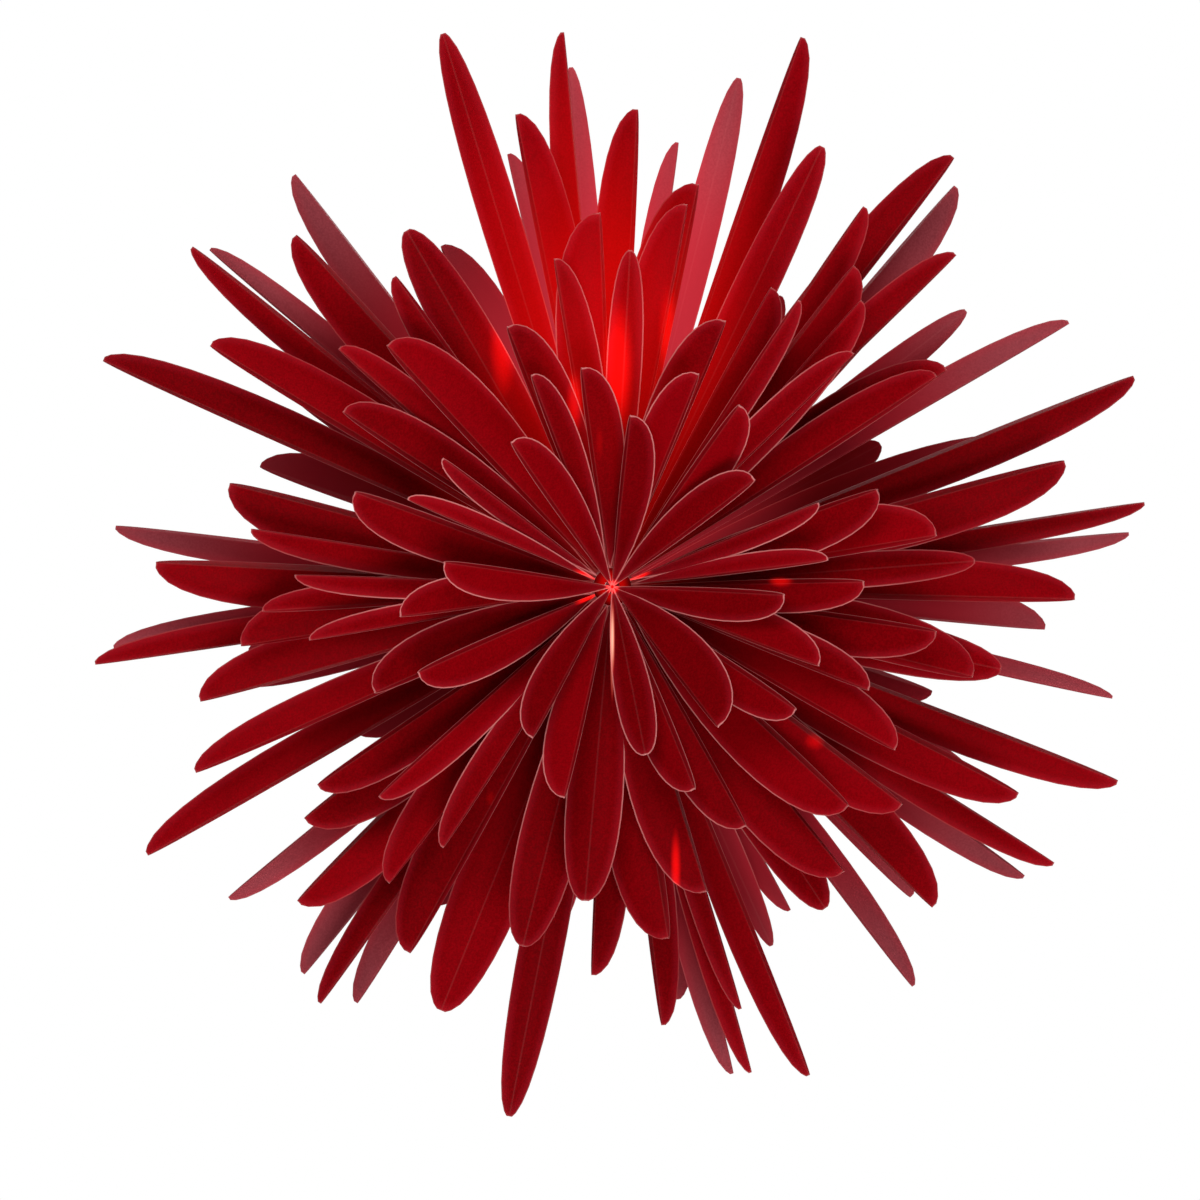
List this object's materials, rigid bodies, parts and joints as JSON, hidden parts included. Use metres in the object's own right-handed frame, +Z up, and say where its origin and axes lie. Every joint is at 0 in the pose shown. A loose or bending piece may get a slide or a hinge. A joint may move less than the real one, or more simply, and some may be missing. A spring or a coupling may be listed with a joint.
{
  "type": "giant paper flower",
  "caption": "Large hanging flower of folded red paper petals, set in graded rosettes on a rolled-paper core, for indoor display.",
  "frame": {"origin": "middle of the core, where the hanging thread is tied", "axes": "the flower faces -Y, +X is to the right as seen from the front, +Z is up as it hangs"},
  "size_m": [0.5863, 0.2664, 0.6049],
  "materials": {
    "petal_red": "satin red face of the petal paper",
    "petal_rear": "matt, paler reverse of the petal paper",
    "core_paper": "matt rolled paper"
  },
  "bodies": {
    "root": {"core_roll": "core_paper", "rosette_01": "petal_red", "rosette_02": "petal_red", "rosette_03": "petal_red", "rosette_04": "petal_red", "rosette_05": "petal_red", "rosette_06": "petal_red", "rosette_07": "petal_red", "rosette_08": "petal_red", "rosette_09": "petal_rear", "rosette_10": "petal_rear", "rosette_11": "petal_rear", "rosette_12": "petal_rear", "rosette_13": "petal_rear", "rosette_14": "petal_rear"}
  },
  "joints": []
}
